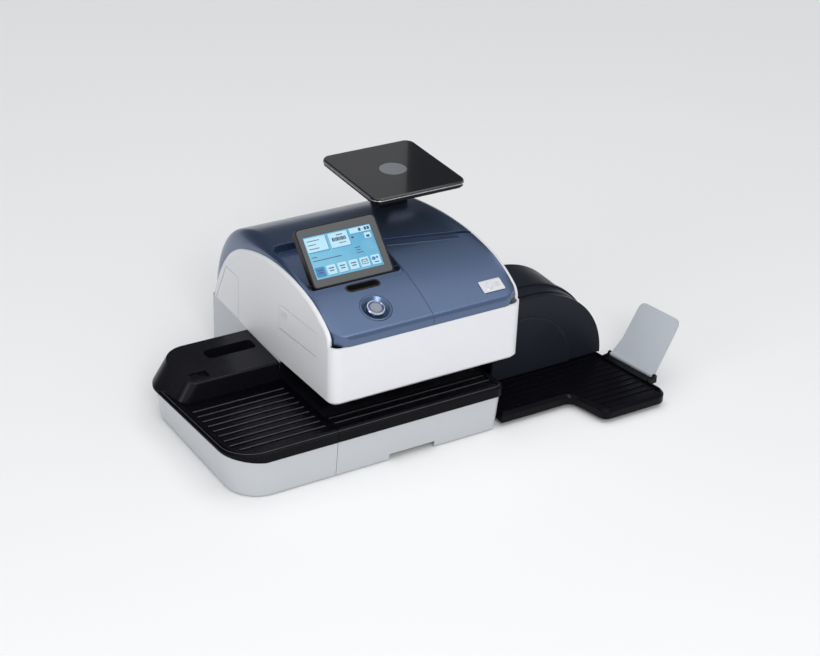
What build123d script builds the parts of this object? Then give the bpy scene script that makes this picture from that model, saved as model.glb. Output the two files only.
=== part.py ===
"""Franking machine: feeder, base, printing unit, weighing platform and exit module.

Working frame while modelling: X runs along the letter path with 0 at the seam between feeder and base,
Y runs to the back with 0 at the front of the base, Z is up from the table. Everything is moved at the
end so that the origin is the middle of the machine's footprint. Millimetres throughout.
"""
from build123d import *
from math import atan, cos, degrees, hypot, radians, sin, sqrt, tan
import os

# ---- machine ----
ORIGIN_X = 188.569          # middle of the footprint, measured in the working frame
ORIGIN_Y = 157.242
WALL = 3.0                  # moulded casing wall
FOOT_Z = 3.0                # height of the rubber feet
SKIRT_Z = 2.0               # lower edge of the silver skirts
SKIRT_TAPER = 5.0
SKIRT_TUCK = 4.5            # further inward lean of the feeder's left side
GAP = 0.4                   # visible gap between casing parts

# ---- letter deck, leaning back towards the guide wall ----
DECK_TILT = 3.8
DECK_Z = 68.0               # deck surface at the front edge
DECK_FRONT = -6.0
DECK_RIM = 3.0              # rim height over the deck surface
BAND = 13.0                 # skirt of the deck below its surface
BAND_SLOPE = 0.19           # rise of its lower edge towards the left end
BEVEL = 5.0
RIM_WIDTH = 8.5
RIB_PITCH = 14.3
RIB_FIRST = 18.0
RIB_SIZE = 2.0
RIB_HEIGHT = 1.2
FEEDER_LEFT = -152.0
FEEDER_BACK = 257.0
FEEDER_RADIUS = 45.0
BASE_RIGHT = 246.0
GUIDE_Y = 156.0

# ---- printing unit ----
BODY_W = 278.0
BODY_FRONT = 15.5
BODY_BACK = 372.0
SIDE_LINE = 84.5            # joint between the white casing and the lower rear housing
FLOOR_Z = 94.0              # overhanging floor at the front, parallel to the deck
LIP_Z = 174.0               # lower edge of the blue covers at the front
CORNER_R = 14.0
RIM = 5.4                   # white shoulder left and right of the blue covers
FLANK = 24.0                # inner end of the covers' rounded flank
SEAM_Y = 162.0              # front edge of the rear cover
LID_LEFT = 144.5            # joint between control panel and cartridge lid
LID_SLANT = 0.2017          # the rear cover's edge runs forward to the right of the lid joint

# ---- display ----
DISPLAY_X = 18.6
DISPLAY_W = 114.5
DISPLAY_H = 81.0
DISPLAY_T = 12.0
DISPLAY_TILT = 44.0
DISPLAY_AXIS = (106.2, 215.6)
DISPLAY_PIVOT = (7.0, 6.0)  # pivot from the lower edge and from the face
WINDOW = (96.0, 57.0)       # lit window and its offset from the middle of the face
WINDOW_AT = (-1.5, -0.5)

# ---- start button ----
BUTTON_AT = (77.5, 46.5)

# ---- weighing platform ----
PLATE_X, PLATE_Y = (146.0, 286.0), (174.0, 326.0)
PLATE_CORNER = 13.0
PLATE_TOP = 278.0
POST_AT = (222.0, 268.0)

# ---- exit module ----
HOOD_CENTRE = (345.0, 18.0)
HOOD_R = 114.6
HOOD_FRONT, HOOD_BACK = 79.0, 181.0
COVER_FRONT = 119.5
HOOD_WALL = 2.6
TRAY_TOP = 18.0
TRAY_BOTTOM = 7.0
TRAY_RIB_PITCH = 11.8

# ---- stop flap ----
FLAP_FOOT, FLAP_END = (468.0, 62.0), (483.0, -14.0)
FLAP_Z = 22.5
FLAP_LEAN = 32.0
FLAP_L = 84.0
FLAP_T = 2.6
FLAP_R = 3.2                # hinge barrel
LUG_W = 4.0

# ---- transport ----
DRIVE_X = (70.0, 205.0)
TYRE_R = 13.0
TYRE_Y = (96.0, 128.0)
TYRE_W = 12.0
PLATE_N = 1.5               # thickness of the transport plate on the deck
SHAFT_R = 4.0
PULLEY_R = 15.0
PULLEY_Y = 161.5
MOTOR_X = 137.5
MOTOR_N = -32.5
MOTOR_PULLEY_R = 8.0
PRESS_R = 10.0

tilt = radians(DECK_TILT)
DECK = Plane(origin=(0, 0, DECK_Z), x_dir=(1, 0, 0), z_dir=(0, sin(tilt), cos(tilt)))
nodes = {}
hinge_pins = []


# ------------------------------------------------------------------ helpers
def block(x0, x1, y0, y1, z0, z1):
    """Box between two corners."""
    return Pos((x0 + x1) / 2, (y0 + y1) / 2, (z0 + z1) / 2) * Box(x1 - x0, y1 - y0, z1 - z0)


def rod(start, direction, radius, length):
    """Cylinder from a start point along a direction."""
    return extrude(Plane(origin=start, z_dir=direction) * Circle(radius), length)


def outline(*corners):
    """Closed flat outline from (x, y, radius) corners."""
    count = len(corners)
    edges, first, last = [], None, None
    for i, (px, py, r) in enumerate(corners):
        corner = Vector(px, py)
        before = (Vector(*corners[i - 1][:2]) - corner).normalized()
        after = (Vector(*corners[(i + 1) % count][:2]) - corner).normalized()
        start = end = corner
        if r > 0:
            half = radians(before.get_angle(after)) / 2
            middle = (before + after).normalized()
            start, end = corner + before * (r / tan(half)), corner + after * (r / tan(half))
            top = corner + middle * (r / sin(half) - r)
        if last is not None:
            edges.append(Line(last, start))
        else:
            first = start
        if r > 0:
            edges.append(ThreePointArc(start, top, end))
        last = end
    edges.append(Line(last, first))
    return make_face(edges)


def side_profile(points, x0, x1):
    """Polygon in (y, z) extruded from x0 to x1."""
    face = make_face(Polyline(*points, close=True))
    return extrude(Plane(origin=(x0, 0, 0), x_dir=(0, 1, 0), z_dir=(1, 0, 0)) * face, x1 - x0)


def along_y(face, y0, y1):
    """Flat shape in (x, z) extruded from y0 to y1."""
    return extrude(Plane(origin=(0, y1, 0), x_dir=(1, 0, 0), z_dir=(0, -1, 0)) * face, y1 - y0)


def on_deck(face, n0, n1):
    """Flat shape in deck coordinates extruded between two heights over the deck surface."""
    return extrude(DECK * Pos(0, 0, n0) * face, n1 - n0)


def deck_block(x0, x1, y0, y1, n0, n1):
    """Box in deck coordinates."""
    return DECK * block(x0, x1, y0, y1, n0, n1)


def deck_rod(x, n, y0, y1, radius):
    """Shaft across the letter path, in deck coordinates."""
    return DECK * rod((x, y0, n), (0, 1, 0), radius, y1 - y0)


def deck_point(x, y, n):
    """Deck coordinates to the working frame."""
    return DECK.from_local_coords(Vector(x, y, n))


def deck_height(y):
    return DECK_Z - tan(tilt) * y


# ------------------------------------------------------------------ blue cover surface
# Each outline is a chain of tangent arcs (radius, heading at its end): it starts up the front lip,
# runs over the top and ends down the back.
CROWN_START, CROWN_LIP, CROWN_END = (BODY_FRONT, LIP_Z), 181.0, 85.0
CROWN_ARCS = ((9, 25.6), (393, 8), (393, -8), (230, -28), (95, -90))
EDGE_START, EDGE_LIP = (26.0, LIP_Z), 176.0
EDGE_ARCS = ((20, 33), (150, 10), (330, -22.5), (120, -50), (200, -72))


def arc_chain(start, lip, arcs, inset):
    """Points of a chain of tangent arcs: ends and one middle point for each arc."""
    y, z = start[0] + inset, lip
    points = [(y, start[1]), (y, z)]
    heading = radians(90)
    for radius, turn_to in arcs:
        r, end = radius - inset, radians(turn_to)
        cy, cz = y + r * sin(heading), z - r * cos(heading)
        for h in ((heading + end) / 2, end):
            points.append((cy - r * sin(h), cz + r * cos(h)))
        (y, z), heading = points[-1], end
    points.append((y + (CROWN_END - z) / tan(heading), CROWN_END))
    return points


def cover_points(share, inset):
    """Blend from the edge outline (share 0) to the crown outline (share 1)."""
    edge = arc_chain(EDGE_START, EDGE_LIP, EDGE_ARCS, inset)
    crown = arc_chain(CROWN_START, CROWN_LIP, CROWN_ARCS, inset)
    return [(a[0] + (b[0] - a[0]) * share, a[1] + (b[1] - a[1]) * share) for a, b in zip(edge, crown)]


def cover_face(x, share, inset, low=60.0, front=None):
    """Closed outline of the cover at one x, reaching down to the height low."""
    pts = cover_points(share, inset)
    edges = [Line(pts[0], pts[1])]
    for i in range(1, len(pts) - 2, 2):
        edges.append(ThreePointArc(pts[i], pts[i + 1], pts[i + 2]))
    y0 = pts[0][0] if front is None else front
    corners = [pts[-1], (pts[-1][0], low), (y0, low)]
    if front is not None:
        corners.append((front, pts[0][1]))
    edges += [Line(pts[-2], pts[-1])] + [Line(a, b) for a, b in zip(corners, corners[1:] + [pts[0]])]
    return Plane(origin=(x, 0, 0), x_dir=(0, 1, 0), z_dir=(1, 0, 0)) * make_face(edges)


def flank_share(x):
    return sqrt(max(0.0, 1 - (1 - (x - RIM) / (FLANK - RIM)) ** 2))


def cover_solid(inset, shift, low):
    """Solid under the blue cover surface, moved inwards by inset."""
    stations = (RIM, RIM + 1.0, RIM + 3.2, RIM + 6.8, RIM + 12.0, FLANK)
    left = loft([cover_face(shift + x, flank_share(x), inset, low) for x in stations])
    right = loft([cover_face(BODY_W - shift - x, flank_share(x), inset, low) for x in stations])
    inner = shift + FLANK
    middle = extrude(cover_face(inner, 1.0, inset, low), BODY_W - 2 * inner)
    solid = left + middle + right
    if shift > 0:
        side = RIM + shift
        solid += extrude(cover_face(-2, 0.0, inset, low), 2 + side)
        solid += extrude(cover_face(BODY_W - side, 0.0, inset, low), 2 + side)
    return solid


def crown_height(y, inset=0.0):
    """Height of the crown outline at y, on its two top arcs."""
    pts = arc_chain(CROWN_START, CROWN_LIP, CROWN_ARCS, inset)
    y1, z1 = pts[3]
    radius, heading = CROWN_ARCS[1][0] - inset, radians(CROWN_ARCS[0][1])
    cy, cz = y1 + radius * sin(heading), z1 - radius * cos(heading)
    return cz + sqrt(radius ** 2 - (y - cy) ** 2)


def crown_slope(y):
    return degrees(atan((crown_height(y + 0.5) - crown_height(y - 0.5))))


# ------------------------------------------------------------------ base and feeder
def feeder_outline(grow=0.0, right=-0.3, tuck=0.0):
    """Plan of the feeder with its slanted left side, which tuck moves further in."""
    left = FEEDER_LEFT - grow + tuck
    radius = FEEDER_RADIUS + grow + 1.6 * tuck
    return outline((right, DECK_FRONT - grow, 0), (left + 9, DECK_FRONT - grow, radius),
                   (left, FEEDER_BACK + grow, 40 + grow), (right, FEEDER_BACK + grow, 0))


def band_wedge(drop):
    """Region under the slanting lower edge of the deck's band, left of the feeder's front corner."""
    rise = BAND_SLOPE * 300
    corners = Polyline((-100, -BAND - drop), (-400, rise - BAND - drop), (-400, -80), (-100, -80), close=True)
    return DECK * along_y(make_face(corners), -60, 320)


def base_outline(grow=0.0, left=0.3, back=GUIDE_Y):
    """Plan of the base deck."""
    right, front = BASE_RIGHT + grow, DECK_FRONT - grow
    return outline((left, front, 0), (right, front, 15 + grow), (right, back, 0), (left, back, 0))


def skirt(plan, inner_plan):
    """Tapered silver skirt under a deck, with its upper edge parallel to the deck."""
    height = DECK_Z - BAND - SKIRT_Z
    outer = extrude(Pos(0, 0, SKIRT_Z + height) * plan, -height, taper=SKIRT_TAPER)
    inner = extrude(Pos(0, 0, SKIRT_Z + height) * inner_plan, -height - 1, taper=SKIRT_TAPER)
    above = DECK * block(-400, 400, -300, 500, -BAND - GAP, 60)
    return outer - inner - above


def feeder_shell():
    """Silver feeder skirt, tucked in at the foot of its left side."""
    top_in = -2.5 + (DECK_Z - (DECK_Z - BAND)) * tan(radians(SKIRT_TAPER))
    low_in = -2.5 - (DECK_Z - BAND - SKIRT_Z) * tan(radians(SKIRT_TAPER))
    outer = loft([Pos(0, 0, DECK_Z) * feeder_outline(top_in, 14),
                  Pos(0, 0, SKIRT_Z) * feeder_outline(low_in, 14, SKIRT_TUCK)], ruled=True)
    inner = loft([Pos(0, 0, DECK_Z + 0.1) * feeder_outline(top_in - WALL, 25),
                  Pos(0, 0, SKIRT_Z - 0.1) * feeder_outline(low_in - WALL, 25, SKIRT_TUCK)], ruled=True)
    above = DECK * block(-400, 400, -300, 500, -BAND - GAP, 60) - band_wedge(GAP)
    return outer - inner - above


def make_skirts():
    feeder = feeder_shell() & block(-400, -0.3, -100, 400, 0, 100)
    base = skirt(base_outline(-2.5, left=-14, back=GUIDE_Y + 14),
                 base_outline(-2.5 - WALL, left=-25, back=GUIDE_Y + 25))
    base &= block(0.3, 400, -100, GUIDE_Y, 0, 100)
    notch = block(77, 144, -10, 8, 0, SKIRT_Z + 8)
    tongue_slot = block(BASE_RIGHT - 20, BASE_RIGHT + 5, 38, 112, 0, 13)
    nodes["feeder_skirt"] = feeder
    nodes["base_skirt"] = base - notch - tongue_slot


def ribs(x0, x1, count, first=RIB_FIRST):
    """Parallel ribs on the deck."""
    row = [deck_block(x0, x1, first + i * RIB_PITCH - RIB_SIZE / 2, first + i * RIB_PITCH + RIB_SIZE / 2,
                      -0.5, RIB_HEIGHT) for i in range(count)]
    return Part() + row


def deck_slab(plan, inner_plan, under_plan):
    """Deck with a bevelled rim, a sunk surface and a skirt hanging below it."""
    slab = on_deck(plan, -BAND, DECK_RIM)
    rim_edges = slab.faces().filter_by(lambda f: f.normal_at().dot(DECK.z_dir) > 0.99).edges()
    slab = chamfer([e for e in rim_edges if is_outer_rim(e)], BEVEL)
    return slab - on_deck(inner_plan, 0, DECK_RIM + 1) - on_deck(under_plan, -BAND - 1, -WALL)


def is_outer_rim(edge):
    """True for the rim edges that face outwards, not the seam or the guide wall side."""
    p = DECK.to_local_coords(edge @ 0.5)
    at_seam = abs(p.X) < 1.0
    at_back = p.Y > GUIDE_Y - 2 and p.X > 0
    return not (at_seam or at_back)


def make_decks():
    feeder = deck_slab(feeder_outline(), feeder_outline(-RIM_WIDTH, right=4), feeder_outline(-4, right=8))
    feeder += ribs(FEEDER_LEFT, -7, 9) & on_deck(feeder_outline(-RIM_WIDTH - 4, right=-6), -2, 5)
    nodes["feeder_deck"] = feeder - band_wedge(0)

    base = deck_slab(base_outline(), base_outline(-RIM_WIDTH, left=-5, back=GUIDE_Y + 5),
                     base_outline(-4, left=-5, back=GUIDE_Y + 5))
    base += ribs(6, BASE_RIGHT - RIM_WIDTH - 3, 2)
    for x in DRIVE_X:
        base -= deck_block(x - 16, x + 16, 90, 146, -BAND, 2)
    nodes["base_deck"] = base

    plate = deck_block(3, 236, 39, GUIDE_Y - 1, 0, PLATE_N)
    for x in DRIVE_X:
        for y in TYRE_Y:
            plate -= deck_block(x - 9, x + 9, y - 1.5, y + TYRE_W + 1.5, -1, PLATE_N + 1)
    nodes["transport_plate"] = plate
    wall = block(0.5, 240, GUIDE_Y + 0.3, GUIDE_Y + 3, deck_height(GUIDE_Y) - BAND, 83.0)
    for x in DRIVE_X:
        wall -= deck_rod(x, PLATE_N + 0.7 - TYRE_R, GUIDE_Y - 4, GUIDE_Y + 8, SHAFT_R + 1.5)
    nodes["transport_plate"] += wall + block(3, 236, GUIDE_Y - 1.5, GUIDE_Y + 1, 57.85, 59.1)


# ------------------------------------------------------------------ feeder tower
TOWER_TOP = 84.0
POCKET = (-79.0, -9.0, 206.0, 229.0)


def tower_plan(z, inset):
    """Plan of the tower at its foot (on the deck) and at its top."""
    if z > 70:
        return outline((-0.4 - inset * 0.2, 158 + inset, 0), (-126.5 + inset, 158 + inset, 15 - inset / 2),
                       (-130 + inset, 255 - inset, 35 - inset), (-0.4 - inset * 0.2, 255 - inset, 0))
    return outline((-0.4 - inset * 0.2, 156 + inset, 0), (-149 + inset, 156 + inset, 17 - inset / 2),
                   (-160 + inset, 259 - inset, 42 - inset), (-0.4 - inset * 0.2, 259 - inset, 0))


def make_tower():
    foot_z = deck_height(156) - 12
    outer = loft([Pos(0, 0, foot_z) * tower_plan(0, 0), Pos(0, 0, TOWER_TOP) * tower_plan(80, 0)])
    top_edges = outer.faces().sort_by(Axis.Z)[-1].edges()
    outer = fillet([e for e in top_edges if (e @ 0.5).X < -1], 2.5)
    inner = loft([Pos(0, 0, foot_z) * tower_plan(0, WALL),
                  Pos(0, 0, TOWER_TOP - WALL) * tower_plan(80, WALL)])
    outer &= on_deck(feeder_outline(), -30, 60)
    below_rim = DECK * block(-400, 400, 0, 500, -80, DECK_RIM - BEVEL)
    x0, x1, y0, y1 = POCKET
    pocket_plan = outline((x1, y0, 5), (x0, y0, 9), (x0, y1, 9), (x1, y1, 5))
    pocket = extrude(Pos(0, 0, TOWER_TOP - 14) * pocket_plan, 20)
    cup = extrude(Pos(0, 0, TOWER_TOP - 16) * outline((x1 + 2, y0 - 2, 7), (x0 - 2, y0 - 2, 11),
                                                      (x0 - 2, y1 + 2, 11), (x1 + 2, y1 + 2, 7)), 15.9)
    slot = block(-118, -94, 167, 183, TOWER_TOP - 5, TOWER_TOP + 1)
    tray = block(-120, -92, 165, 185, TOWER_TOP - 6, TOWER_TOP - 1)
    tower = outer - inner + (cup & block(-200, 0, 150, 260, 0, TOWER_TOP - 1)) + tray - pocket - slot
    nodes["feeder_tower"] = keep_largest(tower - below_rim - nodes["feeder_deck"])
    slider = block(-116.5, -107, 168.5, 181.5, TOWER_TOP - 4.9, TOWER_TOP - 1.6)
    grips = [block(x, x + 1, 170, 180, TOWER_TOP - 2, TOWER_TOP - 0.4) for x in (-115, -112.3, -109.6)]
    nodes["tower_switch"] = slider + grips


# ------------------------------------------------------------------ printing unit casing
def casing_outline(inset=0.0):
    r = CORNER_R - inset
    return outline((inset, BODY_FRONT + inset, r), (BODY_W - inset, BODY_FRONT + inset, r),
                   (BODY_W - inset, 420, 0), (inset, 420, 0))


def side_region(inset, x0, x1, low):
    """Region inside the cover's edge outline, reaching forward past the front."""
    return extrude(cover_face(x0, 0.0, inset, low, front=-40.0), x1 - x0)


def below_floor(drop):
    """Everything under the overhanging floor and the side joint."""
    step = GUIDE_Y + 0.5
    pts = [(-60, 0), (-60, FLOOR_Z + drop + tan(tilt) * 60), (step, FLOOR_Z + drop - tan(tilt) * step),
           (step, SIDE_LINE + drop), (500, SIDE_LINE), (500, 0)]
    return side_profile(pts, -50, BODY_W + 50)


def on_floor_line(edge):
    """True for the lower outer edges of the overhang."""
    points = [edge @ t for t in (0.0, 0.5, 1.0)]
    level = all(abs(p.Z - FLOOR_Z + tan(tilt) * p.Y) < 0.05 for p in points)
    return level and points[1].Y < 150 and min(p.Y for p in points) < 100


def arched_slab():
    """Full-width slab under the covers' side outline, with both outer edges rounded."""
    slab = extrude(cover_face(0, 0.0, 0.0, 60.0), BODY_W)
    sides = [e for e in slab.edges() if min((e @ 0.5).X, BODY_W - (e @ 0.5).X) < 0.01
             and (e @ 0.5).Z > 88 and (e @ 0.5).Y > 26.5]
    return fillet(sides, 4.0)


def rim_zone():
    """Thickened left and right rims beside the covers, 9 mm deep."""
    band = side_region(0.0, 0, RIM - GAP, 60) - side_region(9.0, -1, RIM + 1, 50)
    return band + Pos(BODY_W - RIM + GAP, 0, 0) * band


DOOR_Y = (58.0, 160.0)
DOOR_LOW, DOOR_HIGH = 143.0, 178.5   # at the door's front edge
DOOR_DROP = 0.095                    # the door leans down to the back


def door_outline(grow):
    """Side door as (y, z) corners."""
    y0, y1 = DOOR_Y[0] - grow, DOOR_Y[1] + grow
    drop = DOOR_DROP * (y1 - y0)
    low, high = DOOR_LOW - grow, DOOR_HIGH + grow
    return [(y0, low), (y1, low - drop), (y1, high - drop), (y0, high)]


REAR_PANEL = [(281, 86.0), (279, 150.0), (318, 150.0), (352, 86.0)]


def make_casing():
    outer = arched_slab() + block(0, BODY_W, BODY_FRONT, 40, 60, LIP_Z - GAP)
    outer -= block(RIM - GAP, BODY_W - RIM + GAP, -50, 450, LIP_Z - GAP, 400)
    outer -= block(-1, BODY_W + 1, -50, 27, LIP_Z - GAP, 400)
    inner = Pos(0, 0, -1) * extrude(casing_outline(WALL), 400) - rim_zone()
    hull = (outer & extrude(casing_outline(), 400)) - below_floor(0)
    hull = chamfer([e for e in hull.edges() if on_floor_line(e)], 4.0)
    casing = hull - (inner - below_floor(WALL))
    casing -= block(WALL, BODY_W - WALL, 168, 420, 80, 90)
    casing -= side_profile(door_outline(0.4), -1, WALL + 1)
    casing -= side_profile(REAR_PANEL, -1, 1.4)
    for x in DRIVE_X:
        casing -= deck_block(x - 44, x + 15, 90, 147, 20, 36)
    casing -= deck_block(106, 172, 94, 152, 20, 36)
    nodes["casing"] = casing
    inset_panel = [(282.2, 86.6), (280.0, 149.2), (317.4, 149.2), (350.6, 86.6)]
    nodes["side_panel"] = side_profile(inset_panel, 0.1, 1.4)


def make_side_door():
    """Small service door that turns on its lower edge."""
    y0, y1 = DOOR_Y
    drop = DOOR_DROP * (y1 - y0)
    low0, low1 = DOOR_LOW + 2.6, DOOR_LOW - drop + 2.6
    plate = side_profile([(y0, low0), (y1, low1), (y1, DOOR_HIGH - drop), (y0, DOOR_HIGH)], 0, 2.6)
    direction = Vector(0, y1 - y0, -drop).normalized()
    length = hypot(y1 - y0, drop)
    barrel = rod((2.6, y0, low0), direction, 2.6, length)
    door = plate + barrel - rod((2.6, y0 - 1, low0 + DOOR_DROP), direction, 1.05, length + 2)
    for i in range(4):
        z = DOOR_HIGH - drop - 4.5 - 2.6 * i
        slat = [(y1 - 4, z), (y1 - 4, z - 1.0), (y1 - 24, z + 1.0), (y1 - 24, z + 2.0)]
        door += side_profile(slat, -0.5, 1)
    nodes["side_door"] = door
    pin = rod((2.6, y0 - 4, low0 + DOOR_DROP * 4), direction, 1.0, length + 8)
    frame = block(2, 6.5, y0 - 4, y0 - 0.8, low0 - 3, low0 + 4)
    frame += block(2, 6.5, y1 + 0.8, y1 + 4, low1 - 3, low1 + 4)
    hinge_pins.append(pin)
    bore = rod((2.6, y0 - 9, low0 + DOOR_DROP * 9), direction, 1.02, length + 18)
    nodes["casing"] = nodes["casing"] + frame - bore


# ------------------------------------------------------------------ blue covers
RECESS = (11.0, 143.0, 95.5, 204.0)      # display recess in plan
STEP_REACH = 8.5                         # shallow step in front of the recess
STEP_DEPTH = 1.3
COVER_CORNER = 26.0                      # plan radius of the covers' front corners
HINGE_R = 4.6
LID_HINGE = ((151.0, 157.0), (249.0, 137.2))


def lid_axis():
    """Hinge line of the cartridge lid, one barrel radius below the cover surface."""
    points = [Vector(x, y, crown_height(y) - HINGE_R - 0.2) for x, y in LID_HINGE]
    return points[0], (points[1] - points[0]).normalized(), (points[1] - points[0]).length


def rear_region():
    """Plan of the rear cover: everything behind the joint."""
    slanted_y = SEAM_Y - LID_SLANT * (BODY_W + 20 - 150)
    plan = make_face(Polyline((-10, SEAM_Y), (150, SEAM_Y), (BODY_W + 20, slanted_y), (BODY_W + 20, 420),
                              (-10, 420), close=True))
    return extrude(plan, 400)


def lid_region(side, back):
    """Plan of the cartridge lid in front of its hinge line, grown to the side and to the back."""
    (xa, ya), (xb, yb) = LID_HINGE
    slope = (yb - ya) / (xb - xa)
    left, right = LID_LEFT - side, BODY_W + 20
    plan = make_face(Polyline((left, -10), (right, -10), (right, ya + slope * (right - xa) + back),
                              (left, ya + slope * (left - xa) + back), close=True))
    return extrude(plan, 400)


def recess_floor(y):
    """Height of the display recess floor."""
    y_axis, z_axis = DISPLAY_AXIS
    return z_axis - 10.5 + (y - y_axis) * tan(radians(7))


def display_step(outer):
    """Shallow step in the cover in front of the display."""
    x0, x1, y0, _ = RECESS
    front, right = y0 - STEP_REACH, x1 + GAP
    plan = outline((x0, front, 9), (right, front, 9), (right, y0 + 8, 0), (x0, y0 + 8, 0))
    return (extrude(plan, 400) & outer) - cover_solid(STEP_DEPTH, 0.0, 50.0)


def cover_plan(inset):
    """Plan of the blue covers with their rounded front corners."""
    left, right, front = RIM - 1 + inset, BODY_W - RIM + 1 - inset, BODY_FRONT + inset
    r = COVER_CORNER - inset
    return extrude(outline((left, front, r), (right, front, r), (right, 440, 0), (left, 440, 0)), 400)


def make_covers():
    outer = cover_solid(0.0, 0.0, 60.0) & cover_plan(0.0)
    inner = cover_solid(WALL, 2.2, 40.0) & cover_plan(WALL)
    shell = outer - inner
    shell -= block(-10, BODY_W + 10, -50, 200, 0, LIP_Z)
    shell -= block(-10, BODY_W + 10, -50, 500, 0, CROWN_END)

    x0, x1, y0, y1 = RECESS
    hole_plan = outline((x0, y0, 7), (x1, y0, 7), (x1, y1, 9), (x0, y1, 9))
    wall_plan = outline((x0 - 2, y0 - 2, 9), (x1 + 2, y0 - 2, 9), (x1 + 2, y1 + 2, 11), (x0 - 2, y1 + 2, 11))
    tub = extrude(wall_plan, 400) & outer
    floor_cut = side_profile([(y0 - 9, recess_floor(y0 - 9)), (y1 + 9, recess_floor(y1 + 9)), (y1 + 9, 400),
                              (y0 - 9, 400)], x0 - 20, x1 + 20)
    below = side_profile([(y0 - 9, recess_floor(y0 - 9) - 2), (y1 + 9, recess_floor(y1 + 9) - 2), (y1 + 9, 0),
                          (y0 - 9, 0)], x0 - 20, x1 + 20)
    tub = tub - below - (extrude(hole_plan, 400) & floor_cut)
    around = extrude(outline((x0 - 2 - GAP, y0 - 2, 9), (x1 + 2 + GAP, y0 - 2, 9), (x1 + 2 + GAP, y1 + 2 + GAP, 11),
                             (x0 - 2 - GAP, y1 + 2 + GAP, 11)), 400)

    rear = shell & (Pos(0, GAP, 0) * rear_region())
    lid_cut = lid_region(GAP, GAP + HINGE_R + 0.3)
    rear = rear - around - lid_cut
    post = block(POST_AT[0] - 22, POST_AT[0] + 22, POST_AT[1] - 17, POST_AT[1] + 17, 150, 300)
    rear -= post
    nodes["rear_cover"] = rear

    panel = shell - rear_region() - extrude(wall_plan, 400) + tub
    panel -= lid_cut + display_step(outer)
    panel -= button_bore(21.2)
    panel -= grip_slot(1.0, 400)
    nodes["control_panel"] = keep_largest(panel)
    make_lid(shell)


def keep_largest(shape):
    return max(shape.solids(), key=lambda s: s.volume)


def make_lid(shell):
    start, direction, length = lid_axis()
    lid = shell & lid_region(0, 0)
    barrel = rod(start, direction, HINGE_R, length)
    across = Plane(origin=start, x_dir=(0, 1, 0), z_dir=direction)
    web = extrude(across * Pos(-6, 2.2, 0) * Rectangle(12, 4.2), length)
    lid = lid + barrel + (web & lid_region(0, 0))
    lid -= rod(start - direction, direction, 1.6, length + 2)
    nodes["cartridge_lid"] = lid
    pin = rod(start - direction * 4.6, direction, 1.5, length + 10.6)
    hinge_pins.append(pin)
    badge_plane = surface_plane(241.5, 36.5)
    badge_plan = outline((-16, -9.5, 2), (16, -9.5, 2), (16, 9.5, 2), (-16, 9.5, 2))
    badge = extrude(badge_plane * Pos(0, 0, 0.15) * badge_plan, 1.0)
    emblem = extrude(badge_plane * Pos(-4, 0, 1.0) * Circle(5.5), 0.6)
    emblem -= extrude(badge_plane * Pos(-4, 0, 0.9) * Circle(3.8), 1)
    bars = [extrude(badge_plane * Pos(8, dy, 1.0) * Rectangle(7, 1.2), 0.5) for dy in (-3, 0, 3)]
    nodes["lid_badge"] = badge + emblem + bars


# ------------------------------------------------------------------ display
PIN_DEPTH = 7.0             # reach of the right pin into the display housing


def display_plane():
    """Frame of the display: origin at its lower left front corner, X along its width, Z out of its face."""
    a = radians(DISPLAY_TILT)
    u, n = Vector(0, cos(a), sin(a)), Vector(0, -sin(a), cos(a))
    axis = Vector(DISPLAY_X, *DISPLAY_AXIS)
    origin = axis - u * DISPLAY_PIVOT[0] + n * DISPLAY_PIVOT[1]
    return Plane(origin=origin, x_dir=(1, 0, 0), z_dir=n)


def make_display():
    plane = display_plane()
    w, h = DISPLAY_W, DISPLAY_H
    body = extrude(plane * outline((0, 0, 5), (w, 0, 5), (w, h, 6), (0, h, 6)), -DISPLAY_T)
    body = fillet(body.faces().filter_by(lambda f: f.normal_at().dot(plane.z_dir) < -0.99).edges(), 3)
    rebate = outline((1.4, 1.4, 4), (w - 1.4, 1.4, 4), (w - 1.4, h - 1.4, 5), (1.4, h - 1.4, 5))
    body -= extrude(plane * rebate, -1.6)
    centre = Pos(w / 2 + WINDOW_AT[0], h / 2 + WINDOW_AT[1], 0)
    panel_w, panel_h = WINDOW[0] + 7, WINDOW[1] + 6
    body -= extrude(plane * centre * Pos(0, 0, -1.6) * Rectangle(panel_w, panel_h), -4)
    axis = Vector(DISPLAY_X, *DISPLAY_AXIS)
    for x in (-1, w - PIN_DEPTH - 0.1):
        body -= rod(axis + Vector(x, 0, 0), (1, 0, 0), 2.05, (PIN_DEPTH if x > 0 else 4.0) + 1.2)
    nodes["display_housing"] = body
    glass = extrude(plane * Pos(0, 0, -1.5) * outline((1.6, 1.6, 4), (w - 1.6, 1.6, 4), (w - 1.6, h - 1.6, 5),
                                                      (1.6, h - 1.6, 5)), 1.5)
    window = plane * centre * Pos(0, 0, -2) * Rectangle(*WINDOW)
    nodes["display_bezel"] = glass - extrude(window, 3)
    screen = extrude(plane * centre * Pos(0, 0, -5.4) * Rectangle(panel_w - 0.4, panel_h - 0.4), 3.7)
    raised = extrude(plane * centre * Pos(0, 0, -1.7) * Rectangle(WINDOW[0] - 0.2, WINDOW[1] - 0.2), 1.3)
    nodes["display_screen"] = screen + raised
    x0, x1 = RECESS[0], RECESS[1]
    pins = [rod(axis + Vector(x0 - DISPLAY_X, 0, 0), (1, 0, 0), 2.0, DISPLAY_X - x0 + 4.0),
            rod(Vector(x1, *DISPLAY_AXIS), (-1, 0, 0), 2.0, x1 - DISPLAY_X - w + PIN_DEPTH)]
    hinge_pins.extend(pins)


def surface_plane(x, y):
    """Plane touching the crown at (x, y), Z out of the surface."""
    slope = radians(crown_slope(y))
    return Plane(origin=(x, y, crown_height(y)), x_dir=(1, 0, 0), z_dir=(0, -sin(slope), cos(slope)))


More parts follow.
